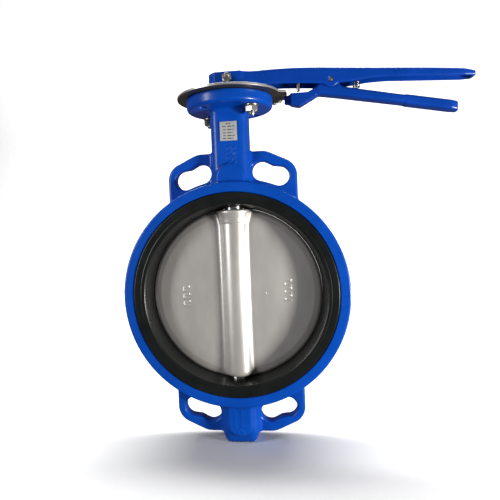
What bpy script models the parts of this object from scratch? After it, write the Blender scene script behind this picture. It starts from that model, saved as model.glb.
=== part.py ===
"""Wafer butterfly valve, DN200, with a ten-position hand lever.

The scene is in metres, +Z up along the stem. The pipe runs along Y and the front face is at -Y.
The origin is the centre of the bore. At rest the disc is shut and the lever points along +X.
The trigger's tongue rests just under the notched plate, so the lever is free to turn.

Every length below is in millimetres, and place() turns a finished mesh into metres.
"""
import bmesh
import bpy
from math import asin, atan2, cos, degrees, hypot, pi, radians, sin, sqrt
from mathutils import Vector

MM = 0.001                  # metres in one millimetre
GAP = 0.3                   # play between two pieces that touch

# Body casting
RING_RADIUS = 131
RING_HALF = 28.5            # half the width of the iron ring, the liner stands proud of it
BORE_RADIUS = 110
RECESS_RADIUS = 118.8       # shallow step in each face that holds the liner's flange
RECESS_HALF = 25
NECK_HALF = 22
NECK_CORNER = 10
NECK_ROOT = 112             # the necks start inside the ring
PAD_FRONT = -24.2           # front of the raised pads on the necks
FLANGE_RADIUS = 50.7
FLANGE_LOW = 215.2
FLANGE_TOP = 229
BOSS_END = -177
EAR_HALF = 8
BOLT_CIRCLE = 147.5         # radius of the pipe flange's 295 mm bolt circle
SLOT_RADIUS = 11.5
SLOT_ANGLES = (14.0, 22.2)  # degrees from Z, for flanges drilled with 12 and with 8 holes

# Stem passage
STEM_RADIUS = 11
STEM_HOLE = 14.3            # bore in the necks, around the bushings
SQUARE_HALF = 7.75
COUNTERBORE_RADIUS = 17
COUNTERBORE_FLOOR = 219.6
BLIND_FLOOR = -160
GROOVE_RADIUS = 10.2
CROSS_HOLE_RADIUS = 3.4

# Liner and disc
FACE_HALF = 30              # half of the 60 mm face to face
LINER_RADIUS = 118.4
DISC_RADIUS = 101.2
BOSS_RADIUS = 17
HUB_HALF = 98.8             # the boss ends in a flat at each end of the disc

# Lever plate and its fasteners
PLATE_LOW = FLANGE_TOP + GAP
PLATE_TOP = PLATE_LOW + 2.5
PLATE_RADIUS = 61.5
SECTOR_RADIUS = 68
NOTCH_RADIUS = 62.8
NOTCH_HALF = 3.3
NOTCH_STEP = 10             # degrees between two lever positions
NOTCH_COUNT = 10
FASTENER_CIRCLE = 39.5
FASTENER_ANGLES = {"front": 315, "rear": 135}
CLEARANCE_RADIUS = 4.5
M8 = {"shank": 4, "across": 13, "head": 5.3, "nut": 6.5}
M6 = {"shank": 3, "across": 10, "head": 4, "nut": 5}

# Lever, trigger and their pins
LEVER_WALL = 2.7
HEAD_HALF = 15
CROSS_BOLT_Z = 250.5
PIVOT = Vector((117.4, 0, 241.4))
LUG_RADIUS = 9.3
PIN_RADIUS = 2.5
STOP_X = 81
STOP_RADIUS = 2
SPRING_X = 147
SPRING_RADIUS = 3.6
WIRE_RADIUS = 0.6

# Side views of the lever and the trigger, (x, z), and plan views, (x, half width)
LEVER_TOP = [(-24, 259.2), (17, 259.2), (26, 257.8), (50, 258.2), (72, 257.9), (95, 256.7), (118, 254.8),
             (165, 251.3), (220, 247), (262, 243), (275, 239.5)]
LEVER_UNDER = [(-24, 232.1), (24, 232.1), (34, 239.6), (45, 240.6), (66, 240.2), (96, 238), (108, 236.6),
               (127, 236.4), (145, 237.2), (158, 238.8), (178, 239.2), (190, 238.6), (220, 236.8), (262, 234.4),
               (275, 234.2)]
LEVER_HALF = [(-24, 5), (-15, HEAD_HALF), (15, HEAD_HALF), (20, 12.3), (110, 12.3), (165, 10.4), (262, 10.4),
              (275, 8)]
TRIGGER_TOP = [(64.2, 228.7), (69.8, 228.7), (70.6, 230.3), (92, 230.3), (101, 235.4), (108, 243.5), (113, 247),
               (118, 248), (124, 244.5), (129, 234.2), (147, 230), (190, 220.9), (256, 207.6)]
TRIGGER_UNDER = [(64.2, 219.4), (82, 214.8), (104, 226.6), (127.4, 222.6), (190, 210.9), (256, 198)]
TRIGGER_HALF = [(64.2, 2.9), (70.6, 2.9), (72, 7.5), (98, 7.5), (104, 8.8), (132, 8.8), (150, 9.2), (248, 9.2),
                (256, 6.5)]


def clear_scene():
    for item in list(bpy.data.objects):
        bpy.data.objects.remove(item, do_unlink=True)


def finish(name, colour, metallic, roughness):
    """Return a Principled material."""
    made = bpy.data.materials.new(name)
    made.use_nodes = True
    shader = made.node_tree.nodes["Principled BSDF"]
    shader.inputs["Base Color"].default_value = (*colour, 1)
    shader.inputs["Metallic"].default_value = metallic
    shader.inputs["Roughness"].default_value = roughness
    return made


# ---- modelling tools ----

def place(name, mesh_data, material, origin=Vector()):
    """Turn a closed bmesh in millimetres into an object in metres with its own origin."""
    bmesh.ops.recalc_face_normals(mesh_data, faces=mesh_data.faces)
    bmesh.ops.translate(mesh_data, verts=mesh_data.verts, vec=-origin)
    bmesh.ops.scale(mesh_data, verts=mesh_data.verts, vec=(MM, MM, MM))
    mesh = bpy.data.meshes.new(name)
    mesh_data.to_mesh(mesh)
    mesh_data.free()
    mesh.shade_smooth()
    mesh.set_sharp_from_angle(angle=radians(32))
    made = bpy.data.objects.new(name, mesh)
    made.location = origin * MM
    if material:
        mesh.materials.append(material)
    bpy.context.scene.collection.objects.link(made)
    return made


def join_rings(mesh_data, rings, closed):
    """Bridge vertex rings of equal length, a ring of one vertex is a pole."""
    pairs = list(zip(rings, rings[1:]))
    if closed:
        pairs.append((rings[-1], rings[0]))
    for one, other in pairs:
        count = max(len(one), len(other))
        for i in range(count):
            j = (i + 1) % count
            face = []
            for ring, index in ((one, i), (one, j), (other, j), (other, i)):
                corner = ring[index % len(ring)]
                if corner not in face:
                    face.append(corner)
            mesh_data.faces.new(face)


def lathe(name, profile, material=None, axis="Z", sides=48, centre=Vector()):
    """Turn a profile of (radius, height) about an axis, closed on itself if no point is on it."""
    mesh_data = bmesh.new()
    rings = []
    for radius, height in profile:
        ring = []
        for i in range(sides if radius > 0 else 1):
            across = radius * cos(2 * pi * i / sides)
            along = radius * sin(2 * pi * i / sides)
            spot = (across, height, along) if axis == "Y" else (across, along, height)
            ring.append(mesh_data.verts.new(Vector(spot) + centre))
        rings.append(ring)
    join_rings(mesh_data, rings, closed=min(radius for radius, _ in profile) > 0)
    return place(name, mesh_data, material, centre)


def loft(name, sections, material=None, origin=Vector()):
    """Skin a list of sections, each a list of points, and cap both ends."""
    mesh_data = bmesh.new()
    rings = [[mesh_data.verts.new(point) for point in section] for section in sections]
    join_rings(mesh_data, rings, closed=False)
    mesh_data.faces.new(rings[0])
    mesh_data.faces.new(rings[-1])
    return place(name, mesh_data, material, origin)


def prism(name, outline, low, high, material=None, axis="Z", origin=Vector()):
    """Extrude an outline of (x, y), or of (x, z) where the axis is Y."""
    sections = []
    for level in (low, high):
        if axis == "Y":
            sections.append([(x, level, z) for x, z in outline])
        else:
            sections.append([(x, y, level) for x, y in outline])
    return loft(name, sections, material, origin)


def sleeve(name, low, high, inner, outer, material, sides=24, centre=Vector()):
    """Plain round ring with a hole."""
    profile = [(inner, low), (outer, low), (outer, high), (inner, high)]
    return lathe(name, profile, material, sides=sides, centre=centre)


def polar(radius, angle):
    """Point at an angle in degrees, counted from the first axis to the second."""
    return (radius * cos(radians(angle)), radius * sin(radians(angle)))


def arc(centre, radius, start, end, steps):
    """Points on an arc between two angles in degrees, both ends included."""
    points = []
    for i in range(steps + 1):
        across, along = polar(radius, start + (end - start) * i / steps)
        points.append((centre[0] + across, centre[1] + along))
    return points


def circle(centre, radius, sides):
    return arc(centre, radius, 0, 360, sides)[:-1]


def square(half):
    return [(half, half), (-half, half), (-half, -half), (half, -half)]


def rounded_square(half, corner):
    inner = half - corner
    points = []
    for index, (side_x, side_y) in enumerate(((1, 1), (-1, 1), (-1, -1), (1, -1))):
        start = 90 * index
        points += arc((side_x * inner, side_y * inner), corner, start, start + 90, 4)
    return points


def between(table, x):
    """Read a value off a list of (x, value) points."""
    for (x0, value0), (x1, value1) in zip(table, table[1:]):
        if x <= x1:
            return value0 + (value1 - value0) * (x - x0) / (x1 - x0)
    return table[-1][1]


def combine(target, tool, operation):
    """Add an exact Boolean, the tool is only a guide."""
    tool.hide_render = True
    tool.display_type = "WIRE"
    modifier = target.modifiers.new(tool.name, "BOOLEAN")
    modifier.operation = operation
    modifier.object = tool
    modifier.solver = "EXACT"


def drill(target, radius, low, high, axis="Z", at=(0, 0), sides=24):
    """Cut a round hole along an axis, at is (x, y), or (x, z) where the axis is Y."""
    tool = prism(target.name + "_drill", circle(at, radius, sides), low, high, axis=axis)
    combine(target, tool, "DIFFERENCE")


# ---- body casting ----

def ear_outline():
    """Outline of the upper right ear: two round lobes about the slot, joined by their tangent."""
    first, second = [polar(BOLT_CIRCLE, 90 - angle) for angle in SLOT_ANGLES]
    first_radius = 23.5
    second_radius = 20.8
    run = hypot(second[0] - first[0], second[1] - first[1])
    slope = degrees(atan2(second[1] - first[1], second[0] - first[0]))
    tangent = 90 + slope - degrees(asin((first_radius - second_radius) / run))
    inside_neck = 16
    inside_ring = 120
    points = [(inside_neck, first[1] + first_radius)]
    points += arc(first, first_radius, 90, tangent, 3)
    points += arc(second, second_radius, tangent, 0, 6)
    points += [(second[0] + second_radius, 99)]
    points += arc((0, 0), inside_ring, 53, 82, 5)
    return points


def slot_outline():
    """Two overlapping bolt lobes, filled in on the side of the ring."""
    first, second = [90 - angle for angle in SLOT_ANGLES]
    points = arc(polar(BOLT_CIRCLE, first), SLOT_RADIUS, 52, 180 + first, 9)
    points += arc((0, 0), BOLT_CIRCLE - SLOT_RADIUS, first, second, 2)[1:]
    points += arc(polar(BOLT_CIRCLE, second), SLOT_RADIUS, second - 180, 84, 9)[1:]
    return points


def at_four_ears(body, outline, half, operation):
    """Repeat an outline on the left and right, above and below."""
    for side in (1, -1):
        for end in (1, -1):
            mirrored = [(side * x, end * z) for x, z in outline]
            combine(body, prism("ear_guide", mirrored, -half, half, axis="Y"), operation)


def upper_neck():
    outline = rounded_square(NECK_HALF, NECK_CORNER)
    return prism("upper_neck_guide", outline, NECK_ROOT, FLANGE_LOW + 5)


def lower_neck():
    """Same section as the upper neck, stepping in to a flat end."""
    sections = []
    for height, half in ((-NECK_ROOT, NECK_HALF), (-162, NECK_HALF), (-172, 18.5), (BOSS_END, 15)):
        outline = rounded_square(half, NECK_CORNER * half / NECK_HALF)
        sections.append([(x, y, height) for x, y in outline])
    return loft("lower_neck_guide", sections)


def top_flange():
    """Round flange with a soft lower edge and a flared root on the neck."""
    profile = [(0, 198), (21, 198), (22.5, 204), (24.5, 210), (27, 213.4), (31, FLANGE_LOW),
               (FLANGE_RADIUS - 3.5, FLANGE_LOW), (FLANGE_RADIUS - 1, FLANGE_LOW + 1),
               (FLANGE_RADIUS, FLANGE_LOW + 3.5), (FLANGE_RADIUS, FLANGE_TOP), (0, FLANGE_TOP)]
    return lathe("flange_guide", profile, sides=48)


def pad(name, radius, spring_line, side):
    """Raised pad on the front of a neck: straight from the ring, with a round end."""
    root = side * (NECK_ROOT + 6)
    start = 90 - 90 * side
    outline = [(side * radius, root)]
    outline += arc((0, spring_line), radius, start, start + 180, 10)
    outline += [(-side * radius, root)]
    return prism(name, outline, PAD_FRONT, -12, axis="Y")


def valve_body(paint):
    edge = 2
    profile = [(RING_RADIUS, RING_HALF - edge), (RING_RADIUS - edge, RING_HALF), (RECESS_RADIUS, RING_HALF),
               (RECESS_RADIUS, RECESS_HALF), (BORE_RADIUS, RECESS_HALF)]
    profile += [(radius, -y) for radius, y in reversed(profile)]
    body = lathe("valve_body", profile, paint, axis="Y", sides=80)
    at_four_ears(body, ear_outline(), EAR_HALF, "UNION")
    for tool in (upper_neck(), lower_neck(), top_flange(), pad("arch_guide", 16.4, 135.6, 1),
                 pad("tongue_guide", 14.4, -152, -1)):
        combine(body, tool, "UNION")
    at_four_ears(body, slot_outline(), 2 * EAR_HALF, "DIFFERENCE")
    drill(body, STEM_HOLE, NECK_ROOT - 12, FLANGE_TOP + 10)
    drill(body, COUNTERBORE_RADIUS, COUNTERBORE_FLOOR, FLANGE_TOP + 10)
    drill(body, STEM_HOLE, BLIND_FLOOR, 12 - NECK_ROOT)
    for angle in (45, 135, 225, 315):
        spot = polar(FASTENER_CIRCLE, angle)
        drill(body, CLEARANCE_RADIUS, FLANGE_LOW - 10, FLANGE_TOP + 10, at=spot, sides=12)
    return body


# ---- liner, disc and stems ----

def seat_liner(rubber):
    """Rubber liner: a tapering bore, rolled lips and a flange in each face of the body."""
    half = [(101.7, 5), (103.2, 15), (105.4, 27.5), (108.5, FACE_HALF), (117.4, FACE_HALF),
            (LINER_RADIUS, FACE_HALF - 1), (LINER_RADIUS, RECESS_HALF + GAP), (BORE_RADIUS - GAP, RECESS_HALF + GAP)]
    profile = half + [(radius, -y) for radius, y in reversed(half)]
    liner = lathe("seat_liner", profile, rubber, axis="Y", sides=64)
    for side in (1, -1):
        ends = sorted((side * 90, side * 120))
        drill(liner, STEM_RADIUS + GAP, ends[0], ends[1], sides=20)
    return liner


def disc_boss():
    """Stem boss: rounded lower end, turned collar at the upper end."""
    profile = [(0, -99), (13, -99), (15.8, -98), (BOSS_RADIUS, -95), (BOSS_RADIUS, 83.5), (17.8, 84.2),
               (18.6, 89), (20.6, 95), (20.8, 97.5), (19, HUB_HALF), (0, HUB_HALF)]
    return lathe("boss_guide", profile, sides=32)


def disc(steel):
    half = [(0, 7.5), (60, 7), (92, 5.8), (99, 4), (DISC_RADIUS, 1)]
    profile = half + [(radius, -y) for radius, y in reversed(half)]
    made = lathe("disc", profile, steel, axis="Y", sides=64)
    combine(made, disc_boss(), "UNION")
    drill(made, STEM_RADIUS + GAP, 60, 110, sides=20)
    combine(made, prism("socket_guide", square(SQUARE_HALF + GAP), 18, 62), "DIFFERENCE")
    drill(made, STEM_RADIUS + GAP, -110, -50, sides=20)
    return made


def upper_stem(steel):
    """Drives the disc: square lower end, round shank with a clip groove, square lever end."""
    chamfer = STEM_RADIUS - 1
    profile = [(0, 60.3), (chamfer, 60.3), (STEM_RADIUS, 61.3), (STEM_RADIUS, 221.4), (GROOVE_RADIUS, 221.4),
               (GROOVE_RADIUS, 223.3), (STEM_RADIUS, 223.3), (STEM_RADIUS, PLATE_TOP), (0, PLATE_TOP)]
    stem = lathe("upper_stem", profile, steel, sides=20)
    combine(stem, prism("key_guide", square(SQUARE_HALF), 20, 66), "UNION")
    combine(stem, prism("head_guide", square(SQUARE_HALF), 226, 257), "UNION")
    drill(stem, CROSS_HOLE_RADIUS, -20, 20, "Y", (0, CROSS_BOLT_Z), sides=12)
    return stem


def lower_stem(steel):
    chamfer = STEM_RADIUS - 1.5
    profile = [(0, -158), (chamfer, -158), (STEM_RADIUS, -156.5), (STEM_RADIUS, -52), (chamfer, -50.5), (0, -50.5)]
    return lathe("lower_stem", profile, steel, sides=20)


def bushings(bronze):
    spans = {"upper_bushing": (196, COUNTERBORE_FLOOR - GAP), "middle_bushing": (118, 150),
             "lower_bushing": (-156, -124)}
    for name, (low, high) in spans.items():
        sleeve(name, low, high, STEM_RADIUS + GAP, STEM_HOLE - GAP, bronze)


def o_rings(rubber):
    middle = (STEM_RADIUS + STEM_HOLE) / 2
    for name, height in (("upper_o_ring", 193), ("middle_o_ring", 153), ("lower_o_ring", -121)):
        lathe(name, circle((middle, height), 1.3, 6), rubber, sides=20)


def thrust_washer(bronze):
    sleeve("thrust_washer", COUNTERBORE_FLOOR + GAP, 221.2, STEM_RADIUS + GAP, COUNTERBORE_RADIUS - GAP, bronze)


def retaining_ring(steel):
    """Open spring ring in the stem's groove."""
    outline = arc((0, 0), 14.5, 30, 330, 16) + arc((0, 0), 10.5, 330, 30, 16)
    prism("retaining_ring", outline, 221.6, 223, steel)


# ---- lever plate and its fasteners ----

def plate_outline():
    """Round plate whose sector from closed to open stands out and carries the notches."""
    first = -14
    last = NOTCH_STEP * (NOTCH_COUNT - 1) + 14
    outer = degrees(asin(NOTCH_HALF / SECTOR_RADIUS))
    inner = degrees(asin(NOTCH_HALF / NOTCH_RADIUS))
    points = [polar(SECTOR_RADIUS, first)]
    for index in range(NOTCH_COUNT):
        angle = index * NOTCH_STEP
        points.append(polar(SECTOR_RADIUS, angle - outer))
        points.append(polar(NOTCH_RADIUS, angle - inner))
        points.append(polar(NOTCH_RADIUS, angle + inner))
        points.append(polar(SECTOR_RADIUS, angle + outer))
    points.append(polar(SECTOR_RADIUS, last))
    points += arc((0, 0), PLATE_RADIUS, last + 5, 360 + first - 5, 32)
    return points


def lever_plate(steel):
    plate = prism("lever_plate", plate_outline(), PLATE_LOW, PLATE_TOP, steel)
    drill(plate, STEM_RADIUS + 1, PLATE_LOW - 5, PLATE_TOP + 5)
    for angle in FASTENER_ANGLES.values():
        drill(plate, CLEARANCE_RADIUS, PLATE_LOW - 5, PLATE_TOP + 5, at=polar(FASTENER_CIRCLE, angle), sides=12)
    return plate


def hexagon(centre, across):
    return circle(centre, across / sqrt(3), 6)


def bolt(name, size, face, side, length, steel, axis="Z", at=(0, 0)):
    """Bolt whose head sits on a face, on the given side of it, and whose shank runs the other way."""
    outer = face + side * size["head"]
    made = prism(name, hexagon(at, size["across"]), min(face, outer), max(face, outer), steel, axis)
    inside = face + side * size["head"] / 2
    tip = face - side * length
    shank = prism(name + "_shank", circle(at, size["shank"], 12), min(inside, tip), max(inside, tip), axis=axis)
    combine(made, shank, "UNION")
    return made


def nut(name, size, low, steel, axis="Z", at=(0, 0)):
    high = low + size["nut"]
    made = prism(name, hexagon(at, size["across"]), low, high, steel, axis)
    drill(made, size["shank"] + GAP, low - 1, high + 1, axis, at, sides=12)
    return made


def plate_fasteners(zinc):
    """Two bolts hold the lever plate on the flange, with washers and nuts underneath."""
    for label, angle in FASTENER_ANGLES.items():
        spot = polar(FASTENER_CIRCLE, angle)
        washer_low = FLANGE_LOW - GAP - 1.5
        bolt("plate_bolt_" + label, M8, PLATE_TOP + GAP, 1, 28.6, zinc, at=spot)
        sleeve("plate_washer_" + label, washer_low, FLANGE_LOW - GAP, M8["shank"] + 0.4, 8, zinc,
               sides=16, centre=Vector((*spot, 0)))
        nut("plate_nut_" + label, M8, washer_low - GAP - M8["nut"], zinc, at=spot)


# ---- lever ----

def lever_under(x):
    """Lower edge of the lever's walls, with a round lug about the trigger's pivot."""
    low = between(LEVER_UNDER, x)
    offset = x - PIVOT.x
    if abs(offset) < LUG_RADIUS:
        low = min(low, PIVOT.z - sqrt(LUG_RADIUS ** 2 - offset ** 2))
    return low


def lever_section(x, inset=0.0):
    """Section of the lever across x, with the top edges taken off, or of its channel if inset."""
    half = between(LEVER_HALF, x) - inset
    top = between(LEVER_TOP, x) - inset
    low = lever_under(x) - 4 * inset
    edge = 2.2
    outline = [(-half, low), (-half, top - edge), (-half + edge, top), (half - edge, top), (half, top - edge),
               (half, low)]
    return [(x, y, z) for y, z in outline]


def handle(paint):
    """Lever: a solid head on the stem's square, then a channel open below."""
    lug = [PIVOT.x + LUG_RADIUS * cos(radians(angle)) for angle in range(175, 0, -17)]
    stations = {x for table in (LEVER_TOP, LEVER_UNDER, LEVER_HALF) for x, _ in table}
    stations = sorted(lug + [x for x in stations if abs(x - PIVOT.x) > LUG_RADIUS])
    lever = loft("handle", [lever_section(x) for x in stations], paint)
    inner = [x for x in stations if 26 <= x <= 262] + [271]
    combine(lever, loft("channel_guide", [lever_section(x, LEVER_WALL) for x in inner]), "DIFFERENCE")
    combine(lever, prism("head_socket_guide", square(SQUARE_HALF + GAP), 225, 265), "DIFFERENCE")
    drill(lever, CROSS_HOLE_RADIUS, -20, 20, "Y", (0, CROSS_BOLT_Z), sides=12)
    drill(lever, PIN_RADIUS + GAP, -20, 20, "Y", (PIVOT.x, PIVOT.z), sides=12)
    drill(lever, STOP_RADIUS + GAP, 245, 265, at=(STOP_X, 0), sides=12)
    return lever


def clamp_fasteners(zinc):
    """Cross bolt through the lever's head and the stem, with its nut."""
    bolt("clamp_bolt", M6, -HEAD_HALF - GAP, -1, 37.3, zinc, "Y", (0, CROSS_BOLT_Z))
    nut("clamp_nut", M6, HEAD_HALF + GAP, zinc, "Y", (0, CROSS_BOLT_Z))


def stop_pin(zinc):
    """Pin through the top of the lever that limits how far the tongue rises."""
    top = between(LEVER_TOP, STOP_X) + GAP
    profile = [(0, 233), (STOP_RADIUS, 233), (STOP_RADIUS, top), (3.2, top), (3.2, top + 0.8), (0, top + 1.1)]
    lathe("stop_pin", profile, zinc, sides=12, centre=Vector((STOP_X, 0, 0)))


# ---- trigger ----

def trigger_section(x):
    half = between(TRIGGER_HALF, x)
    top = between(TRIGGER_TOP, x)
    low = between(TRIGGER_UNDER, x)
    edge = min(1.6, half / 3)
    outline = [(-half, low + edge), (-half, top - edge), (-half + edge, top), (half - edge, top),
               (half, top - edge), (half, low + edge), (half - edge, low), (-half + edge, low)]
    return [(x, y, z) for y, z in outline]


def trigger(paint):
    """Latch lever: a tongue at the plate, a barrel on the pivot pin and a grip under the lever."""
    stations = {x for table in (TRIGGER_TOP, TRIGGER_UNDER, TRIGGER_HALF) for x, _ in table}
    lever = loft("trigger", [trigger_section(x) for x in sorted(stations)], paint, PIVOT)
    drill(lever, PIN_RADIUS + GAP, -20, 20, "Y", (PIVOT.x, PIVOT.z), sides=12)
    return lever


def trigger_pin(zinc):
    return prism("trigger_pin", circle((PIVOT.x, PIVOT.z), PIN_RADIUS, 12), -11.6, 11.6, zinc, "Y", PIVOT)


def trigger_spring(steel):
    """Compression spring between the roof of the lever and the trigger."""
    low = 232.2 + WIRE_RADIUS
    high = between(LEVER_TOP, SPRING_X) - LEVER_WALL - 0.6 - WIRE_RADIUS
    turns = 6
    steps = 10
    mesh_data = bmesh.new()
    rings = []
    for i in range(turns * steps + 1):
        height = low + (high - low) * i / (turns * steps)
        ring = []
        for across, along in circle((SPRING_RADIUS, height), WIRE_RADIUS, 5):
            x, y = polar(across, 360 * i / steps)
            ring.append(mesh_data.verts.new((SPRING_X + x, y, along)))
        rings.append(ring)
    join_rings(mesh_data, rings, closed=False)
    mesh_data.faces.new(rings[0])
    mesh_data.faces.new(rings[-1])
    return place("trigger_spring", mesh_data, steel)


def nameplate(foil):
    """Thin plate on the flat front of the neck."""
    half_width = 9.8
    low = 177.5
    high = 199.3
    outline = [(-half_width, low), (half_width, low), (half_width, high), (-half_width, high)]
    front = -NECK_HALF - GAP
    return prism("nameplate", outline, front - 0.5, front, foil, axis="Y")


def build():
    clear_scene()
    paint = finish("epoxy_blue", (0.004, 0.07, 0.42), 0.0, 0.25)
    rubber = finish("epdm_black", (0.012, 0.012, 0.013), 0.0, 0.4)
    cast_steel = finish("cast_stainless", (0.55, 0.52, 0.49), 0.9, 0.45)
    bar_steel = finish("bar_stainless", (0.6, 0.6, 0.6), 1.0, 0.25)
    sheet_steel = finish("sheet_stainless", (0.7, 0.7, 0.68), 1.0, 0.3)
    zinc = finish("zinc", (0.6, 0.58, 0.53), 1.0, 0.35)
    bronze = finish("bronze", (0.5, 0.33, 0.15), 1.0, 0.35)
    foil = finish("label_foil", (0.72, 0.72, 0.7), 0.6, 0.4)
    valve_body(paint)
    seat_liner(rubber)
    disc(cast_steel)
    upper_stem(bar_steel)
    lower_stem(bar_steel)
    bushings(bronze)
    o_rings(rubber)
    thrust_washer(bronze)
    retaining_ring(bar_steel)
    lever_plate(sheet_steel)
    plate_fasteners(zinc)
    handle(paint)
    clamp_fasteners(zinc)
    stop_pin(zinc)
    trigger(paint)
    trigger_pin(zinc)
    trigger_spring(bar_steel)
    nameplate(foil)


build()
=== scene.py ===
"""Looks of the wafer butterfly valve: fine meshes, materials, stage, light and camera.

The cast pieces are modelled as distance fields and skinned, so their edges and joints are rounded
like a casting's. The other pieces are turned, extruded or wound. Lengths are in millimetres, +Z is
up along the stem, and the front face is at -Y.
"""

import bmesh
import bpy
import numpy as np
from math import asin, atan2, cos, degrees, hypot, pi, radians, sin, sqrt, tan
from mathutils import Matrix, Vector


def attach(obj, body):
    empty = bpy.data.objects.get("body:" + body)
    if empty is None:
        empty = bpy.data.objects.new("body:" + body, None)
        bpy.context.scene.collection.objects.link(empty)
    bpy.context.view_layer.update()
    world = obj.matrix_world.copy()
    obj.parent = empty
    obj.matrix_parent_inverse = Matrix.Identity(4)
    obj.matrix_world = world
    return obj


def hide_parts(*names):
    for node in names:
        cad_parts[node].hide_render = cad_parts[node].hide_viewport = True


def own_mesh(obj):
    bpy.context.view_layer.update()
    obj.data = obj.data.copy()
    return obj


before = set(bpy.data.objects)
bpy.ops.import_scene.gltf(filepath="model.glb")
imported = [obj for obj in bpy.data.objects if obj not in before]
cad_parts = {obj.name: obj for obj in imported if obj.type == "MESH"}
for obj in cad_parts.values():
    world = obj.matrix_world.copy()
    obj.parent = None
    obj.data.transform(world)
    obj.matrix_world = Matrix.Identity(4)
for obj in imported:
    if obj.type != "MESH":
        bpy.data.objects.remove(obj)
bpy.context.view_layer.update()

MM = 0.001

# Body casting
RING_RADIUS = 131
RING_HALF = 28.5
BORE_RADIUS = 110
RECESS_RADIUS = 118.8
RECESS_HALF = 25
NECK_HALF = 22
NECK_CORNER = 10
PAD_FRONT = -24.2
FLANGE_RADIUS = 50.7
FLANGE_LOW = 215.2
FLANGE_TOP = 229
BOSS_END = -177
EAR_HALF = 8
BOLT_CIRCLE = 147.5
SLOT_RADIUS = 11.5
SLOT_ANGLES = (14.0, 22.2)
EAR_LOBES = (23.5, 20.8)
STEM_RADIUS = 11
STEM_HOLE = 14.3
SQUARE_HALF = 7.75
FASTENER_CIRCLE = 39.5
FASTENER_HOLE = 4.5

# Liner and disc
FACE_HALF = 30
LINER_RADIUS = 118.4
DISC_RADIUS = 101.2
DISC_HALF = 7.5
BOSS_RADIUS = 17

# Lever plate and fasteners
PLATE_LOW = 229.3
PLATE_TOP = 231.8
PLATE_RADIUS = 61.5
SECTOR_RADIUS = 68
NOTCH_RADIUS = 62.8
NOTCH_HALF = 3.3
NOTCHES = 10
NOTCH_PITCH = 10
STEM_OPENING = 12
M8 = {"shank": 4, "across": 13, "head": 5.3, "nut": 6.5, "pitch": 1.25}
M6 = {"shank": 3, "across": 10, "head": 4, "nut": 5, "pitch": 1.0}

# Lever and trigger
LEVER_WALL = 2.7
HEAD_HALF = 15
CROSS_BOLT_Z = 250.5
PIVOT_X = 117.4
PIVOT_Z = 241.4
LUG_RADIUS = 9.3
CROSS_HOLE = 3.4
PIVOT_HOLE = 2.7
STOP_HOLE = 2.3
STOP_X = 81
SPRING_X = 147

# Side views, (x, z), and plan views, (x, half width)
LEVER_TOP = [(-24, 259.2), (17, 259.2), (26, 257.8), (50, 258.2), (72, 257.9), (95, 256.7), (118, 254.8),
             (165, 251.3), (220, 247), (262, 243), (275, 239.5)]
LEVER_UNDER = [(-24, 232.1), (24, 232.1), (34, 239.6), (45, 240.6), (66, 240.2), (96, 238), (108, 236.6),
               (127, 236.4), (145, 237.2), (158, 238.8), (178, 239.2), (190, 238.6), (220, 236.8),
               (262, 234.4), (275, 234.2)]
LEVER_PLAN = [(-24, 5), (-15, HEAD_HALF), (15, HEAD_HALF), (20, 12.3), (110, 12.3), (165, 10.4), (262, 10.4),
              (275, 8)]
TRIGGER_TOP = [(64.2, 228.7), (69.8, 228.7), (70.6, 230.3), (92, 230.3), (101, 235.4), (108, 243.5),
               (113, 247), (118, 248), (124, 244.5), (129, 234.2), (147, 230), (190, 220.9), (256, 207.6)]
TRIGGER_UNDER = [(64.2, 219.4), (82, 214.8), (104, 226.6), (127.4, 222.6), (190, 210.9), (256, 198)]
TRIGGER_PLAN = [(64.2, 2.9), (70.6, 2.9), (72, 7.5), (98, 7.5), (104, 8.8), (132, 8.8), (150, 9.2),
                (248, 9.2), (256, 6.5)]


# ---- materials ----

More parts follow.
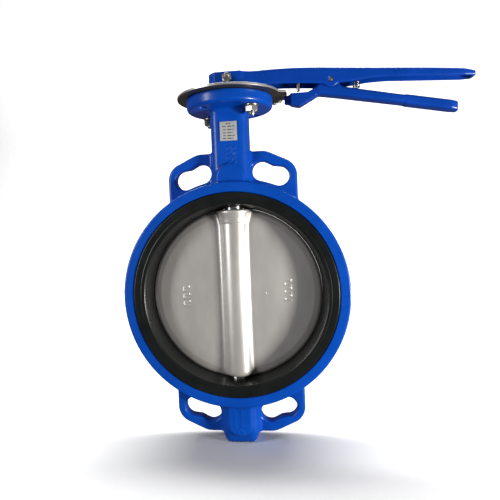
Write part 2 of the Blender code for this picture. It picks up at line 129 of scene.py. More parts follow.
def material(name, colours, metallic, roughness, grain, bump, coat=0.0, spread=0.06, streak=1.0, shine=0.5,
             below=None):
    """Principled material with a mottled colour, uneven roughness and a fine bump.

    colours is a dark and a light tone, grain is the size of the bump's grains in millimetres, bump is its
    height in millimetres, streak stretches the mottling along Z, and below is a painted reflection: a tone
    given to faces that look down, standing in for the brownish surroundings they would mirror.
    """
    made = bpy.data.materials.new(name)
    made.use_nodes = True
    nodes = made.node_tree.nodes
    links = made.node_tree.links
    shader = nodes["Principled BSDF"]
    shader.inputs["Metallic"].default_value = metallic
    shader.inputs["Specular IOR Level"].default_value = shine
    shader.inputs["Coat Weight"].default_value = coat
    shader.inputs["Coat Roughness"].default_value = 0.08
    coords = nodes.new("ShaderNodeTexCoord")
    stretch = nodes.new("ShaderNodeMapping")
    stretch.inputs["Scale"].default_value = (1, 1, 1 / streak)
    links.new(coords.outputs["Object"], stretch.inputs["Vector"])

    mottle = nodes.new("ShaderNodeTexNoise")
    mottle.inputs["Scale"].default_value = 28
    mottle.inputs["Detail"].default_value = 6
    mottle.inputs["Roughness"].default_value = 0.62
    links.new(stretch.outputs["Vector"], mottle.inputs["Vector"])
    ramp = nodes.new("ShaderNodeValToRGB")
    ramp.color_ramp.elements[0].position = 0.32
    ramp.color_ramp.elements[0].color = (*colours[0], 1)
    ramp.color_ramp.elements[1].position = 0.68
    ramp.color_ramp.elements[1].color = (*colours[1], 1)
    links.new(mottle.outputs["Fac"], ramp.inputs["Fac"])
    # Downward faces blend to the below tone, a painted reflection of the surroundings rather than a colour
    # of the metal.
    if below:
        facing = nodes.new("ShaderNodeSeparateXYZ")
        links.new(coords.outputs["Normal"], facing.inputs["Vector"])
        share = nodes.new("ShaderNodeMapRange")
        share.inputs["From Min"].default_value = -0.5
        share.inputs["From Max"].default_value = -0.9
        links.new(facing.outputs["Z"], share.inputs["Value"])
        tone = nodes.new("ShaderNodeMix")
        tone.data_type = "RGBA"
        tone.inputs["B"].default_value = (*below, 1)
        links.new(share.outputs["Result"], tone.inputs["Factor"])
        links.new(ramp.outputs["Color"], tone.inputs["A"])
        links.new(tone.outputs["Result"], shader.inputs["Base Color"])
    else:
        links.new(ramp.outputs["Color"], shader.inputs["Base Color"])

    rough = nodes.new("ShaderNodeMapRange")
    rough.inputs["From Min"].default_value = 0.3
    rough.inputs["From Max"].default_value = 0.7
    rough.inputs["To Min"].default_value = roughness - spread
    rough.inputs["To Max"].default_value = roughness + spread
    links.new(mottle.outputs["Fac"], rough.inputs["Value"])
    links.new(rough.outputs["Result"], shader.inputs["Roughness"])

    fine = nodes.new("ShaderNodeTexNoise")
    fine.inputs["Scale"].default_value = 1 / (grain * MM)
    fine.inputs["Detail"].default_value = 3
    links.new(stretch.outputs["Vector"], fine.inputs["Vector"])
    height = nodes.new("ShaderNodeBump")
    height.inputs["Strength"].default_value = 1
    height.inputs["Distance"].default_value = bump * MM
    links.new(fine.outputs["Fac"], height.inputs["Height"])
    links.new(height.outputs["Normal"], shader.inputs["Normal"])
    return made


# ---- distance fields ----

def axes(low, high, step):
    """Three axes of a grid that reaches past a box, shaped to broadcast."""
    margin = 2.5 * step
    lines = [np.arange(a - margin, b + margin + step, step, dtype=np.float32) for a, b in zip(low, high)]
    return np.meshgrid(*lines, indexing="ij", sparse=True)


def common(a, b, soft):
    """Intersection whose edge is rounded, soft is a little more than the radius."""
    blend = np.maximum(soft - np.abs(a - b), 0)
    return np.maximum(a, b) + blend * blend / (4 * soft)


def joined(a, b, soft):
    """Union with a fillet."""
    return -common(-a, -b, soft)


def without(a, b, soft):
    """Difference with a rounded edge."""
    return common(a, -b, soft)


def polygon(p, q, points):
    """Distance to a closed polygon in the plane of p and q, negative inside."""
    nearest = np.float32(1e9)
    inside = np.bool_(False)
    for (p0, q0), (p1, q1) in zip(points, points[1:] + points[:1]):
        run = p1 - p0
        rise = q1 - q0
        share = np.clip(((p - p0) * run + (q - q0) * rise) / (run * run + rise * rise), 0, 1)
        nearest = np.minimum(nearest, (p - p0 - share * run) ** 2 + (q - q0 - share * rise) ** 2)
        if rise:
            inside = inside ^ (((q0 <= q) != (q1 <= q)) & (p < p0 + (q - q0) * run / rise))
    return np.where(inside, -1, 1) * np.sqrt(nearest)


def rounded_box(p, q, half_p, half_q, corner):
    """Distance to a rectangle with round corners, centred on the origin."""
    across = np.abs(p) - half_p + corner
    along = np.abs(q) - half_q + corner
    outside = np.hypot(np.maximum(across, 0), np.maximum(along, 0))
    return outside + np.minimum(np.maximum(across, along), 0) - corner


def stroke(p, q, start, end):
    """Distance to a straight line between two points."""
    run = end[0] - start[0]
    rise = end[1] - start[1]
    share = np.clip(((p - start[0]) * run + (q - start[1]) * rise) / (run * run + rise * rise), 0, 1)
    return np.hypot(p - start[0] - share * run, q - start[1] - share * rise)


def strokes(p, q, marks, half):
    """Distance to a set of straight strokes, each a start and an end, of a given half width."""
    nearest = np.float32(1e9)
    for start, end in marks:
        nearest = np.minimum(nearest, stroke(p, q, start, end))
    return nearest - half


def skin(name, field, grid, step):
    """Mesh of the zero level: a vertex in each crossed cell, a quad around each crossed edge."""
    origin = np.array([line.ravel()[0] for line in grid])
    inside = field < 0
    cells = tuple(size - 1 for size in field.shape)
    corners = [(i, j, k) for i in (0, 1) for j in (0, 1) for k in (0, 1)]
    held = np.zeros(cells, np.uint8)
    for i, j, k in corners:
        held += inside[i:i + cells[0], j:j + cells[1], k:k + cells[2]]
    mixed = (held > 0) & (held < 8)
    cell = np.argwhere(mixed)
    number = np.full(cells, -1, np.int32)
    number[mixed] = np.arange(len(cell))
    total = np.zeros((len(cell), 3))
    count = np.zeros(len(cell))
    for corner in corners:
        for axis in range(3):
            if corner[axis]:
                continue
            start = cell + np.array(corner)
            end = start.copy()
            end[:, axis] += 1
            a = field[tuple(start.T)]
            b = field[tuple(end.T)]
            crossed = (a < 0) != (b < 0)
            point = start.astype(float)
            point[crossed, axis] += (a / np.where(crossed, a - b, 1))[crossed]
            total[crossed] += point[crossed]
            count += crossed
    places = (total / count[:, None] * step + origin) * MM
    quads = []
    for axis in range(3):
        u = (axis + 1) % 3
        v = (axis + 2) % 3
        near = np.take(inside, range(field.shape[axis] - 1), axis)
        edge = np.argwhere(near != np.take(inside, range(1, field.shape[axis]), axis))
        ring = []
        for du, dv in ((0, 0), (-1, 0), (-1, -1), (0, -1)):
            beside = edge.copy()
            beside[:, u] += du
            beside[:, v] += dv
            ring.append(number[tuple(beside.T)])
        quad = np.stack(ring, 1)
        hollow = ~near[tuple(edge.T)]
        quad[hollow] = quad[hollow][:, ::-1]
        quads.append(quad)
    mesh = bpy.data.meshes.new(name)
    mesh.from_pydata(places.tolist(), [], np.concatenate(quads).tolist())
    mesh.shade_smooth()
    made = bpy.data.objects.new(name, mesh)
    bpy.context.scene.collection.objects.link(made)
    return made


# ---- turned, extruded and wound pieces ----

def place(name, mesh_data, sharp=35):
    """Turn a closed bmesh in millimetres into an object in metres."""
    bmesh.ops.recalc_face_normals(mesh_data, faces=mesh_data.faces)
    bmesh.ops.scale(mesh_data, verts=mesh_data.verts, vec=(MM, MM, MM))
    mesh = bpy.data.meshes.new(name)
    mesh_data.to_mesh(mesh)
    mesh_data.free()
    mesh.shade_smooth()
    mesh.set_sharp_from_angle(angle=radians(sharp))
    made = bpy.data.objects.new(name, mesh)
    bpy.context.scene.collection.objects.link(made)
    return made


def bridge(mesh_data, rings, closed):
    """Join vertex rings of equal length, a ring of one vertex is a pole."""
    pairs = list(zip(rings, rings[1:]))
    if closed:
        pairs.append((rings[-1], rings[0]))
    for one, other in pairs:
        count = max(len(one), len(other))
        for i in range(count):
            j = (i + 1) % count
            face = []
            for ring, index in ((one, i), (one, j), (other, j), (other, i)):
                corner = ring[index % len(ring)]
                if corner not in face:
                    face.append(corner)
            mesh_data.faces.new(face)


def turned(name, rings, matrix=Matrix(), sides=96, closed=False, sharp=35):
    """Skin rings given as (radius, height), radius is a number or a function of the angle in degrees."""
    mesh_data = bmesh.new()
    made = []
    for radius, height in rings:
        ring = []
        pole = not callable(radius) and radius == 0
        for i in range(1 if pole else sides):
            angle = 360 * i / sides
            reach = radius(angle) if callable(radius) else radius
            spot = Vector((reach * cos(radians(angle)), reach * sin(radians(angle)), height))
            ring.append(mesh_data.verts.new(matrix @ spot))
        made.append(ring)
    bridge(mesh_data, made, closed)
    return place(name, mesh_data, sharp)


def polar(radius, angle):
    return (radius * cos(radians(angle)), radius * sin(radians(angle)))


def arc(centre, radius, start, end, steps):
    points = []
    for i in range(steps + 1):
        across, along = polar(radius, start + (end - start) * i / steps)
        points.append((centre[0] + across, centre[1] + along))
    return points


def soften(points, times):
    """Cut the corners of a closed outline."""
    for _ in range(times):
        cut = []
        for (p0, q0), (p1, q1) in zip(points, points[1:] + points[:1]):
            cut.append((0.75 * p0 + 0.25 * p1, 0.75 * q0 + 0.25 * q1))
            cut.append((0.25 * p0 + 0.75 * p1, 0.25 * q0 + 0.75 * q1))
        points = cut
    return points


def sheet(name, outlines, low, high, edge, matrix=Matrix()):
    """Flat plate with rounded edges, the first outline is its rim and the others are holes."""
    curve = bpy.data.curves.new(name, "CURVE")
    curve.dimensions = "2D"
    curve.fill_mode = "BOTH"
    curve.extrude = ((high - low) / 2 - edge) * MM
    curve.bevel_depth = edge * MM
    curve.bevel_resolution = 2
    curve.offset = -edge * MM
    for outline in outlines:
        spline = curve.splines.new("POLY")
        spline.points.add(len(outline) - 1)
        for point, (p, q) in zip(spline.points, outline):
            point.co = (p * MM, q * MM, 0, 1)
        spline.use_cyclic_u = True
    guide = bpy.data.objects.new(name + "_guide", curve)
    bpy.context.scene.collection.objects.link(guide)
    mesh = bpy.data.meshes.new_from_object(guide.evaluated_get(bpy.context.evaluated_depsgraph_get()))
    bpy.data.objects.remove(guide)
    mesh.name = name
    mesh_data = bmesh.new()
    mesh_data.from_mesh(mesh)
    bmesh.ops.remove_doubles(mesh_data, verts=mesh_data.verts, dist=1e-7)
    bmesh.ops.scale(mesh_data, verts=mesh_data.verts, vec=(1 / MM, 1 / MM, 1 / MM))
    bmesh.ops.translate(mesh_data, verts=mesh_data.verts, vec=(0, 0, (low + high) / 2))
    bmesh.ops.transform(mesh_data, matrix=matrix, verts=mesh_data.verts)
    bpy.data.meshes.remove(mesh)
    return place(name, mesh_data)


def cut(target, tool):
    """Subtract a tool for good and remove it."""
    modifier = target.modifiers.new("cut", "BOOLEAN")
    modifier.operation = "DIFFERENCE"
    modifier.solver = "EXACT"
    modifier.object = tool
    graph = bpy.context.evaluated_depsgraph_get()
    mesh = bpy.data.meshes.new_from_object(target.evaluated_get(graph))
    target.modifiers.clear()
    target.data = mesh
    bpy.data.objects.remove(tool)


def finish_piece(made, body, slot, look, *nodes):
    """Give a piece its material and let it stand for CAD nodes on a body; the slot is not used."""
    made.data.materials.clear()
    made.data.materials.append(look)
    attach(made, body)
    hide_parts(*nodes)
    return made


# ---- body casting ----

def ear_outline():
    """Upper right ear: two round lobes about the slot, joined by their tangent."""
    first, second = [polar(BOLT_CIRCLE, 90 - angle) for angle in SLOT_ANGLES]
    run = hypot(second[0] - first[0], second[1] - first[1])
    slope = degrees(atan2(second[1] - first[1], second[0] - first[0]))
    large, small = EAR_LOBES
    tangent = 90 + slope - degrees(asin((large - small) / run))
    points = [(10, first[1] + large)]
    points += arc(first, large, 90, tangent, 8)
    points += arc(second, small, tangent, 0, 16)
    points += [(second[0] + small, 99)]
    points += arc((0, 0), 120, 53, 82, 8)
    return points


def slot_outline():
    """Two overlapping bolt lobes, filled in on the side of the ring."""
    first, second = [90 - angle for angle in SLOT_ANGLES]
    points = arc(polar(BOLT_CIRCLE, first), SLOT_RADIUS, 60, 180 + first, 18)
    points += arc((0, 0), BOLT_CIRCLE - SLOT_RADIUS, first, second, 3)[1:]
    points += arc(polar(BOLT_CIRCLE, second), SLOT_RADIUS, second - 180, 80, 18)[1:]
    points += [polar(BOLT_CIRCLE + SLOT_RADIUS - 2.2, (first + second) / 2)]
    return points


def neck_marks():
    """Two short columns of bars, as a foundry would cast on the neck."""
    marks = []
    for row, height in enumerate((169, 163.5, 158, 152.5)):
        marks.append(((-2.5, height), (1.2, height + 1.8)))
        marks.append(((4.2 + row % 2, height - 1.5), (6.8, height + 1.2)))
    return marks


def boss_marks():
    """Two columns of short bars above a small ring."""
    marks = []
    for height in (-135, -139.5, -144, -148.5, -153):
        marks.append(((-6.6, height), (-5.2, height - 1.4)))
        marks.append(((1.2, height - 0.8), (2.8, height + 1.2)))
    ring = [(0.5 + 3.4 * cos(2 * pi * i / 10), -161 + 2 * sin(2 * pi * i / 10)) for i in range(10)]
    marks += list(zip(ring, ring[1:] + ring[:1]))
    return marks


def build_body(look):
    step = 1.0
    grid = axes((-RING_RADIUS, -FLANGE_RADIUS, BOSS_END), (RING_RADIUS, FLANGE_RADIUS, FLANGE_TOP), step)
    x, y, z = grid
    radius = np.hypot(x, z)
    ring = common(radius - RING_RADIUS, np.abs(y) - RING_HALF, 2.4)
    ear = common(polygon(np.abs(x), np.abs(z), ear_outline()), np.abs(y) - EAR_HALF, 3.5)
    field = joined(ring, ear, 5)

    section = rounded_box(x, y, NECK_HALF, NECK_HALF, NECK_CORNER)
    neck = common(section, z - FLANGE_TOP + 4, 2)
    taper = np.interp(z, [BOSS_END, -172, -162], [6.5, 3.2, 0])
    boss = common(section + taper, BOSS_END - z, 4)
    field = joined(field, np.maximum(common(neck, boss, 1), 105 - np.abs(z)), 5)

    stem = np.hypot(x, y)
    drum = common(common(stem - FLANGE_RADIUS, FLANGE_LOW - z, 5), z - FLANGE_TOP, 1.6)
    field = joined(field, drum, 6)

    arch = stroke(x, z, (0, 112), (0, 135.6)) - 16.4
    tongue = stroke(x, z, (0, -112), (0, -152)) - 14.4
    for pad in (arch, tongue):
        field = joined(field, common(pad, np.maximum(PAD_FRONT - y, y + 10), 2.4), 2)
    above = common(strokes(x, z, neck_marks(), 0.75), np.maximum(-NECK_HALF - 1.1 - y, y + 15), 1.4)
    below = common(strokes(x, z, boss_marks(), 0.75), np.maximum(PAD_FRONT - 0.9 - y, y + 15), 1.4)
    field = joined(joined(field, above, 1), below, 1)

    field = without(field, polygon(np.abs(x), np.abs(z), slot_outline()), 2.5)
    field = without(field, radius - BORE_RADIUS, 1)
    field = without(field, np.maximum(radius - RECESS_RADIUS, RECESS_HALF - np.abs(y)), 1.2)
    field = without(field, np.maximum(stem - STEM_HOLE, -156 - z), 1.2)
    field = without(field, np.maximum(stem - 17, 219.6 - z), 1.2)
    for angle in (45, 135, 225, 315):
        across, along = polar(FASTENER_CIRCLE, angle)
        field = without(field, np.maximum(np.hypot(x - across, y - along) - FASTENER_HOLE, 205 - z), 1.2)
    body = skin("cast_body", field, grid, step)
    return finish_piece(body, "body", "body_paint", look, "valve_body")


# ---- liner, disc and stems ----

def build_liner(look):
    """Rubber liner: a tapering bore, rolled lips and a flange in each face of the body."""
    half = [(101.35, 3), (102.1, 9), (103, 15), (104, 21), (104.6, 25), (104.7, 27.6), (105.6, 29.2),
            (107.4, FACE_HALF), (109.6, FACE_HALF), (110.4, FACE_HALF - 0.35), (111.3, FACE_HALF),
            (114, FACE_HALF), (117.4, FACE_HALF), (118.3, FACE_HALF - 0.4), (LINER_RADIUS, 28.6),
            (LINER_RADIUS, 25.6), (117.8, 25.3), (BORE_RADIUS, 25.3), (BORE_RADIUS - 0.3, 24)]
    profile = half + [(radius, -height) for radius, height in reversed(half)]
    liner = turned("bore_liner", soften(profile, 2), Matrix.Rotation(pi / 2, 4, "X"), sides=288, closed=True,
                   sharp=60)
    for low, high in ((90, 120), (-120, -90)):
        hole = [(0, low), (STEM_RADIUS + 0.3, low), (STEM_RADIUS + 0.3, high), (0, high)]
        cut(liner, turned("hole", hole, sides=48))
    liner.data.shade_smooth()
    liner.data.set_sharp_from_angle(angle=radians(50))
    return finish_piece(liner, "body", "rubber", look, "seat_liner")


def disc_marks(side):
    """A column of raised bars on one half of the disc's front."""
    marks = []
    centre = (-59.3, -2.8) if side < 0 else (61.2, 1.6)
    for row in range(6):
        height = centre[1] + 4.4 * (row - 2.5)
        marks.append(((centre[0] - 3.6, height), (centre[0] + 3.6, height)))
        if row % 2:
            marks.append(((centre[0] + 3.6, height), (centre[0] + 3.6, height + 2.2)))
        else:
            marks.append(((centre[0] - 3.6, height), (centre[0] - 3.6, height + 2.6)))
    return marks


def build_disc(look):
    step = 0.8
    grid = axes((-DISC_RADIUS, -20.8, -DISC_RADIUS), (DISC_RADIUS, 20.8, DISC_RADIUS), step)
    x, y, z = grid
    radius = np.hypot(x, z)
    half = [(-1, DISC_HALF), (40, 7.3), (60, 7), (80, 6.4), (92, 5.6), (98, 4.2), (100.6, 2.4),
            (DISC_RADIUS, 0.8)]
    rim = half + [(reach, -depth) for reach, depth in reversed(half)]
    field = polygon(radius, y, rim)
    stem = np.hypot(x, y)
    boss = [(-1, -99), (12.5, -99), (15.2, -98), (16.6, -96), (BOSS_RADIUS, -93), (BOSS_RADIUS, 83.2),
            (17.6, 84.2), (17.9, 86.4), (18.6, 89.4), (20, 94), (20.6, 96), (20.6, 98), (19.4, 98.8),
            (-1, 98.8)]
    field = joined(field, polygon(stem, z, boss), 4)
    for side in (-1, 1):
        mark = common(strokes(x, z, disc_marks(side), 0.45), np.maximum(-7.9 - y, y + 4), 0.7)
        field = joined(field, mark, 0.5)
    field = without(field, np.sqrt((x - 36.8) ** 2 + (y + 8) ** 2 + (z + 0.4) ** 2) - 1.5, 0.6)
    for side in (1, -1):
        field = without(field, np.maximum(stem - STEM_RADIUS - 0.3, 50 - side * z), 1)
    return finish_piece(skin("disc_casting", field, grid, step), "stem_group", "disc_steel", look, "disc")


def build_upper_stem(look):
    """Round shank with a clip groove, and a chamfered square with a centre hole at the lever end."""
    def squared(half):
        def reach(angle):
            turn = radians((angle + 45) % 90 - 45)
            return min(half / cos(turn), 10.2)
        return reach
    rings = [(0, 20.5), (squared(7), 20.5), (squared(SQUARE_HALF), 21.3), (squared(SQUARE_HALF), 60.6),
             (10, 60.6), (11, 61.6), (11, 221.4), (10.2, 221.4), (10.2, 223.3), (11, 223.3), (11, 230.9),
             (10.4, 231.5), (squared(SQUARE_HALF), 231.5), (squared(SQUARE_HALF), 256), (squared(7), 256.9),
             (3.2, 256.9), (1.6, 254.4), (0, 253.4)]
    stem = turned("drive_stem", rings, sides=96, sharp=28)
    return finish_piece(stem, "stem_group", "stem_steel", look, "upper_stem")


# ---- lever plate and fasteners ----

def plate_outline():
    """Round plate with a wider sector that has a notch at each lever stop."""
    first = -14
    last = 104
    outer = degrees(asin(NOTCH_HALF / SECTOR_RADIUS))
    inner = degrees(asin(NOTCH_HALF / NOTCH_RADIUS))
    points = arc((0, 0), SECTOR_RADIUS, first, -outer, 3)[:-1]
    for index in range(NOTCHES):
        angle = NOTCH_PITCH * index
        points.append(polar(SECTOR_RADIUS, angle - outer))
        points.append(polar(NOTCH_RADIUS, angle - inner))
        points.append(polar(NOTCH_RADIUS, angle + inner))
        points.append(polar(SECTOR_RADIUS, angle + outer))
    points += arc((0, 0), SECTOR_RADIUS, 90 + outer, last, 3)[1:]
    points += arc((0, 0), PLATE_RADIUS, last + 4, 356 + first, 160)
    return points


def build_plate(look):
    holes = [arc((0, 0), STEM_OPENING, 0, 360, 48)[:-1]]
    holes += [arc(polar(FASTENER_CIRCLE, angle), FASTENER_HOLE, 0, 360, 24)[:-1] for angle in (135, 315)]
    plate = sheet("notched_plate", [plate_outline()] + holes, PLATE_LOW, PLATE_TOP, 0.35)
    return finish_piece(plate, "body", "plate_steel", look, "lever_plate")


def hex_reach(across, limit):
    """Radius of a hexagon at an angle, cut by a circle."""
    def reach(angle):
        turn = radians((angle + 30) % 60 - 30)
        return min(across / 2 / cos(turn), limit)
    return reach


def chamfered_end(across, height, inward):
    """Rings of a hexagon's rounded end, from its outer corners to the flat, inward is the way in."""
    corner = across / sqrt(3)
    flat = across / 2 * 0.95
    rings = []
    for i in range(7):
        limit = corner + (flat - corner) * i / 6
        depth = (limit - flat) * tan(radians(30))
        rings.append((hex_reach(across, limit), height + inward * depth))
    return rings


def thread(size, low, high):
    """Rings of a helical thread, from low to high."""
    rings = []
    count = int(round(abs(high - low) / size["pitch"] * 6))
    for i in range(count + 1):
        height = low + (high - low) * i / count

        def reach(angle, height=height):
            turn = (height / size["pitch"] - angle / 360) % 1
            return size["shank"] - 0.48 * size["pitch"] * abs(2 * turn - 1)
        rings.append((reach, height))
    return rings


def bolt(name, size, length, matrix):
    """Hexagon bolt along Z: head above 0, shank below."""
    across = size["across"]
    head = size["head"]
    shank = size["shank"]
    rings = [(0, head - 0.3), (across / 4, head - 0.3), (across / 4 + 0.5, head)]
    rings += list(reversed(chamfered_end(across, head, -1)))
    rings += [(hex_reach(across, across), 0.35), (0.47 * across, 0.3), (0.47 * across, 0), (shank, 0),
              (shank, 4 - length / 2)]
    rings += thread(size, 3.5 - length / 2, 1 - length)
    rings += [(0.8 * shank, -length), (0, -length)]
    return turned(name, rings, matrix, sides=72, sharp=24)


def nut(name, size, matrix):
    """Hexagon nut along Z from 0 up, with both ends chamfered."""
    across = size["across"]
    shank = size["shank"]
    rings = chamfered_end(across, 0, 1)
    rings += [(shank + 0.5, 0), (shank + 0.05, 0.6), (shank + 0.05, size["nut"] - 0.6),
              (shank + 0.5, size["nut"])]
    rings += list(reversed(chamfered_end(across, size["nut"], -1)))
    return turned(name, rings, matrix, sides=72, closed=True, sharp=24)


def washer(name, inner, outer, matrix):
    profile = [(inner, 0), (outer - 0.2, 0), (outer, 0.3), (outer, 1.2), (outer - 0.3, 1.5), (inner, 1.5)]
    return turned(name, profile, matrix, sides=72, closed=True)


def build_fasteners(look):
    for label, angle, twist in (("front", 315, 3), ("rear", 135, 37)):
        across, along = polar(FASTENER_CIRCLE, angle)

        def at(height, turn=twist):
            return Matrix.Translation((across, along, height)) @ Matrix.Rotation(radians(turn), 4, "Z")
        made = bolt("m8_bolt_" + label, M8, 28.6, at(PLATE_TOP + 0.3))
        finish_piece(made, "body", "zinc", look, "plate_bolt_" + label)
        made = washer("m8_washer_" + label, 4.4, 8, at(FLANGE_LOW - 1.8))
        finish_piece(made, "body", "zinc", look, "plate_washer_" + label)
        made = nut("m8_nut_" + label, M8, at(FLANGE_LOW - 2.1 - M8["nut"]))
        finish_piece(made, "body", "zinc", look, "plate_nut_" + label)
    facing = Matrix.Translation((0, -HEAD_HALF - 0.3, CROSS_BOLT_Z)) @ Matrix.Rotation(pi / 2, 4, "X")
    made = bolt("cross_bolt", M6, 37.3, facing @ Matrix.Rotation(radians(8), 4, "Z"))
    finish_piece(made, "stem_group", "zinc", look, "clamp_bolt")
    facing = Matrix.Translation((0, HEAD_HALF + 0.3, CROSS_BOLT_Z)) @ Matrix.Rotation(-pi / 2, 4, "X")
    made = nut("cross_nut", M6, facing)
    finish_piece(made, "stem_group", "zinc", look, "clamp_nut")


# ---- lever and trigger ----

def table_value(table, x):
    """Value of a table of (x, value) at x, straight between its rows."""
    return np.interp(x, [a for a, _ in table], [b for _, b in table])


def eased(table, spread, count):
    """Resample a table of (x, value) and round off its bends over a length."""
    xs = np.linspace(table[0][0], table[-1][0], count)
    spots = xs[:, None] + np.linspace(-spread, spread, 9)[None, :]
    values = table_value(table, spots).mean(1)
    return list(zip(xs.tolist(), values.tolist()))


def band(upper, lower):
    """Closed outline between an upper and a lower line."""
    return upper + lower[::-1]


def build_handle(look):
    step = 0.6
    grid = axes((-24, -15, 232.1), (275, 15, 259.2), step)
    x, y, z = grid
    top = eased(LEVER_TOP, 7, 60)
    under = eased(LEVER_UNDER, 4, 70)
    side = polygon(x, z, band(top, under))
    lug = np.hypot(x - PIVOT_X, z - PIVOT_Z) - LUG_RADIUS
    side = joined(side, lug, 3)
    plan = np.abs(y) - table_value(LEVER_PLAN, x)
    ends = np.maximum(LEVER_PLAN[0][0] - x, x - LEVER_PLAN[-1][0])
    outer = common(common(side, plan, 3.2), ends, 3)
    roof = [(a, b - LEVER_WALL) for a, b in top if 24 < a < 270]
    hollow = polygon(x, z, [(roof[0][0], 200)] + roof + [(roof[-1][0], 200)])
    field = without(outer, common(hollow, plan + LEVER_WALL, 3), 1.4)
    field = without(field, rounded_box(x, y, SQUARE_HALF + 0.3, SQUARE_HALF + 0.3, 1.5), 1)
    field = without(field, np.hypot(x, z - CROSS_BOLT_Z) - CROSS_HOLE, 1)
    field = without(field, np.hypot(x - PIVOT_X, z - PIVOT_Z) - PIVOT_HOLE, 0.8)
    field = without(field, np.maximum(np.hypot(x - STOP_X, y) - STOP_HOLE, 245 - z), 0.8)
    made = skin("hand_lever", field, grid, step)
    return finish_piece(made, "stem_group", "lever_paint", look, "handle")


def build_trigger(look):
    step = 0.6
    grid = axes((64.2, -9.2, 197), (256, 9.2, 248), step)
    x, y, z = grid
    top = eased(TRIGGER_TOP, 1.5, 150)
    under = eased(TRIGGER_UNDER, 1.5, 150)
    side = polygon(x, z, band(top, under))
    grip = np.interp(x, [198, 200.5, 254], [0, 0.7, 0.7])
    plan = np.abs(y) - table_value(TRIGGER_PLAN, x)
    ends = np.maximum(TRIGGER_PLAN[0][0] - x, x - TRIGGER_PLAN[-1][0])
    soft = np.where(x < 100, 1.6, 4.0).astype(np.float32)
    field = common(common(side - grip, plan, soft), ends, 2)
    made = skin("squeeze_trigger", field, grid, step)
    return finish_piece(made, "trigger", "lever_paint", look, "trigger")


def build_pins(look):
    across = Matrix.Translation((PIVOT_X, 0, PIVOT_Z)) @ Matrix.Rotation(pi / 2, 4, "X")
    rings = [(0, -11.3), (1.9, -11.6), (2.5, -11), (2.5, 11), (1.9, 11.6), (0, 11.3)]
    finish_piece(turned("pivot_pin", rings, across, sides=48), "stem_group", "zinc", look, "trigger_pin")
    top = float(table_value(LEVER_TOP, STOP_X)) + 0.3
    rings = [(0, 233), (1.6, 233), (2, 233.5), (2, top), (3.1, top), (3.2, top + 0.3), (2.6, top + 0.8),
             (1.4, top + 1.1), (0, top + 1.1)]
    made = turned("stop_stud", rings, Matrix.Translation((STOP_X, 0, 0)), sides=48)
    finish_piece(made, "stem_group", "zinc", look, "stop_pin")


def build_spring(look):
    """Compression spring with closed ends."""
    wire = 0.6
    coil = 3.6
    low = 232.8
    high = 248.4
    turns = 8
    steps = 28
    mesh_data = bmesh.new()
    rings = []
    for i in range(turns * steps + 1):
        share = i / (turns * steps)
        rise = np.interp(share, [0, 0.125, 0.875, 1], [0, 0.08, 0.92, 1])
        height = low + (high - low) * float(rise)
        ring = []
        for radius, level in arc((coil, height), wire, 0, 360, 10)[:-1]:
            across, along = polar(radius, 360 * i / steps)
            ring.append(mesh_data.verts.new((SPRING_X + across, along, level)))
        rings.append(ring)
    bridge(mesh_data, rings, False)
    mesh_data.faces.new(rings[0])
    mesh_data.faces.new(rings[-1])
    made = place("coil_spring", mesh_data, 60)
    finish_piece(made, "stem_group", "stem_steel", look, "trigger_spring")
    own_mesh(made)


def build_nameplate(foil, ink):
    """Foil label with printed bars."""
    upright = Matrix.Rotation(pi / 2, 4, "X")
    low = 177.5
    outline = [(-9.8, low), (9.8, low), (9.8, 199.3), (-9.8, 199.3)]
    label = sheet("foil_label", [outline], 22.3, 22.78, 0.1, upright)
    finish_piece(label, "body", "label", foil, "nameplate")
    mesh_data = bmesh.new()
    bars = [((-2.6, -0.6), 196.8, 1.1), ((0.4, 2.2), 196.8, 1.1)]
    for row, height in enumerate((193.7, 190.0, 186.5, 183.1, 180.0)):
        bars.append(((-6.9 + 0.6 * (row % 2), -2.9), height, 0.9))
        bars.append(((-1.2, 3.4), height, 1.1))
        bars.append(((4.2, 7.2 - 1.1 * (row % 3)), height, 0.9))
    for (left, right), height, thick in bars:
        corners = [(left, height - thick / 2), (right, height - thick / 2), (right, height + thick / 2),
                   (left, height + thick / 2)]
        rings = [[mesh_data.verts.new((a, depth, b)) for a, b in corners] for depth in (-22.5, -22.8)]
        bridge(mesh_data, rings, False)
        mesh_data.faces.new(rings[0])
        mesh_data.faces.new(rings[-1])
    print_bars = place("label_bars", mesh_data)
    finish_piece(print_bars, "body", "label", ink)


# ---- stage, light and camera ----

def build_stage():
    """Pale floor that curves up into a backdrop."""
    profile = [(-2600, 0), (1500, 0)] + arc((1500, 900), 900, -90, 0, 16)[1:] + [(2400, 2600)]
    mesh_data = bmesh.new()
    rows = []
    for x in (-3200, 3200):
        rows.append([mesh_data.verts.new((x, y, z + BOSS_END - 0.4)) for y, z in profile])
    for i in range(len(profile) - 1):
        mesh_data.faces.new((rows[0][i], rows[1][i], rows[1][i + 1], rows[0][i + 1]))
    floor = place("floor", mesh_data)
    paper = material("pale_paper", ((0.86, 0.86, 0.86), (0.88, 0.88, 0.88)), 0.0, 0.9, 3, 0.02)
    floor.data.materials.append(paper)
    floor.visible_diffuse = False
    floor.visible_glossy = False


def lamp(name, spot, target, size, power, colour):
    """Rectangular lamp at a spot that faces a target, in millimetres."""
    light = bpy.data.lights.new(name, "AREA")
    light.shape = "RECTANGLE"
    light.size = size[0] * MM
    light.size_y = size[1] * MM
    light.energy = power
    light.color = colour
    made = bpy.data.objects.new(name, light)
    spot = Vector(spot) * MM
    made.location = spot
    made.rotation_euler = (Vector(target) * MM - spot).to_track_quat("-Z", "Y").to_euler()
    bpy.context.scene.collection.objects.link(made)


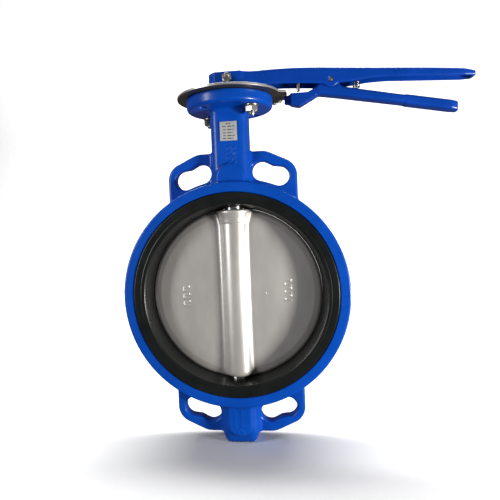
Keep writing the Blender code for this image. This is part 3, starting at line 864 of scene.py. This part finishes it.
def build_lights():
    world = bpy.data.worlds.new("studio")
    world.use_nodes = True
    shade = world.node_tree.nodes["Background"]
    shade.inputs["Color"].default_value = (0.93, 0.95, 1.0, 1)
    shade.inputs["Strength"].default_value = 0.1
    bpy.context.scene.world = world
    lamp("key", (800, -420, -90), (0, 0, 0), (160, 120), 10, (1.0, 0.98, 0.94))
    lamp("front", (-1150, -850, 350), (0, 0, 40), (300, 900), 11, (1.0, 1.0, 1.0))
    lamp("back", (0, 500, 1900), (0, 1900, 300), (2600, 600), 125, (1.0, 1.0, 1.0))
    bpy.context.scene.view_settings.view_transform = "Standard"


def build_camera():
    """Camera a little right of the bore, slightly rolled and shifted."""
    yaw = radians(7.14)
    pitch = radians(-2.21)
    roll = radians(-2.35)
    forward = Vector((-sin(yaw) * cos(pitch), cos(yaw) * cos(pitch), sin(pitch)))
    right = Vector((cos(yaw), sin(yaw), 0))
    up = right.cross(forward)
    tilted_right = cos(roll) * right + sin(roll) * up
    tilted_up = -sin(roll) * right + cos(roll) * up
    camera = bpy.data.cameras.new("camera")
    camera.sensor_width = 36
    camera.lens = 34.05
    camera.shift_x = 0.046
    camera.shift_y = -0.005
    made = bpy.data.objects.new("camera", camera)
    turn = Matrix((tilted_right, tilted_up, -forward)).transposed().to_4x4()
    made.matrix_world = Matrix.Translation(Vector((60.7, -563.6, 76.5)) * MM) @ turn
    bpy.context.scene.collection.objects.link(made)
    bpy.context.scene.camera = made


def build():
    body_paint = material("body_epoxy", ((0.0, 0.066, 0.45), (0.0, 0.082, 0.54)), 0.0, 0.3, 2.2, 0.035,
                          coat=0.1, shine=0.35)
    # The lever's blue is darker than the body's though both are the same blue epoxy: painted shade for the
    # dimmer upper parts.
    lever_paint = material("lever_epoxy", ((0.0, 0.045, 0.34), (0.0, 0.055, 0.42)), 0.0, 0.32, 2.2, 0.03,
                           coat=0.1, shine=0.35)
    rubber = material("moulded_rubber", ((0.006, 0.007, 0.007), (0.011, 0.012, 0.012)), 0.0, 0.3, 0.8, 0.008,
                      shine=0.4)
    disc_steel = material("blasted_steel", ((0.66, 0.625, 0.59), (0.74, 0.71, 0.675)), 0.55, 0.4, 0.5, 0.02,
                          streak=2.5)
    stem_steel = material("turned_steel", ((0.5, 0.5, 0.5), (0.62, 0.62, 0.62)), 1.0, 0.28, 0.4, 0.005)
    # The brown below tone on the plate's underside is a painted reflection of the room, not the steel's own
    # colour.
    plate_steel = material("rolled_steel", ((0.62, 0.6, 0.56), (0.72, 0.7, 0.67)), 0.8, 0.35, 0.6, 0.006,
                           below=(0.16, 0.12, 0.075))
    zinc = material("zinc_plate", ((0.5, 0.47, 0.42), (0.66, 0.63, 0.57)), 1.0, 0.33, 0.5, 0.01)
    bronze = material("turned_bronze", ((0.42, 0.26, 0.1), (0.5, 0.33, 0.15)), 1.0, 0.35, 0.5, 0.01)
    foil = material("silver_foil", ((0.56, 0.56, 0.54), (0.66, 0.66, 0.64)), 0.35, 0.4, 0.8, 0.004)
    ink = material("label_ink", ((0.02, 0.02, 0.02), (0.06, 0.06, 0.06)), 0.0, 0.5, 0.5, 0.002)
    build_body(body_paint)
    build_liner(rubber)
    build_disc(disc_steel)
    build_upper_stem(stem_steel)
    build_plate(plate_steel)
    build_fasteners(zinc)
    build_handle(lever_paint)
    build_trigger(lever_paint)
    build_pins(zinc)
    build_spring(stem_steel)
    build_nameplate(foil, ink)
    carried = {"lower_stem": stem_steel, "retaining_ring": stem_steel, "upper_bushing": bronze,
               "middle_bushing": bronze, "lower_bushing": bronze, "thrust_washer": bronze,
               "upper_o_ring": rubber, "middle_o_ring": rubber, "lower_o_ring": rubber}
    for node, look in carried.items():
        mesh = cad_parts[node].data
        mesh.materials.clear()
        mesh.materials.append(look)


build()
build_stage()
build_lights()
build_camera()
bpy.context.view_layer.update()
